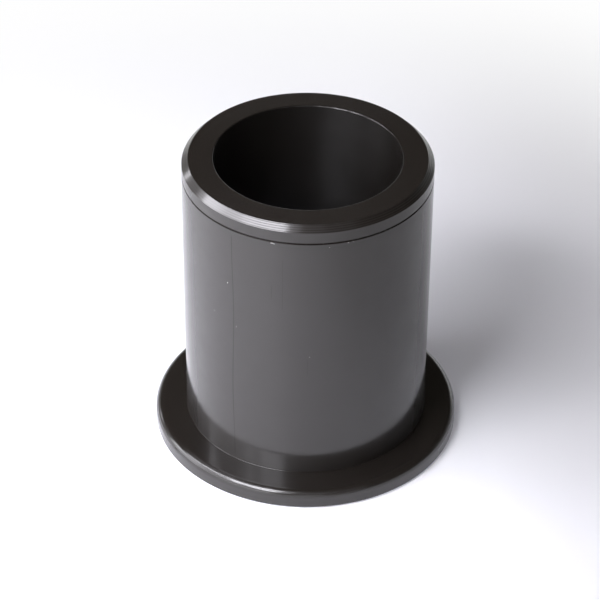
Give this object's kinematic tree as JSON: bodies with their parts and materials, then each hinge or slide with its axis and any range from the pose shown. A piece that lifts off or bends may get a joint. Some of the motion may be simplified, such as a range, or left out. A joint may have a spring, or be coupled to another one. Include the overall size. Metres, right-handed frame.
{
  "type": "flanged plain bushing",
  "caption": "Short moulded plastic sleeve bushing with a thin flange at its foot, a plain through bore and a chamfered tip with a fine witness groove.",
  "frame": {"origin": "centre of the bore on the flange's underside", "axes": "+Z along the axis, from the flange towards the chamfered tip"},
  "size_m": [0.0252, 0.0252, 0.0257],
  "materials": {
    "moulded_plastic": "near-black, as moulded, satin with faint draw marks"
  },
  "bodies": {
    "root": {"flanged_bushing": "moulded_plastic"}
  },
  "joints": []
}
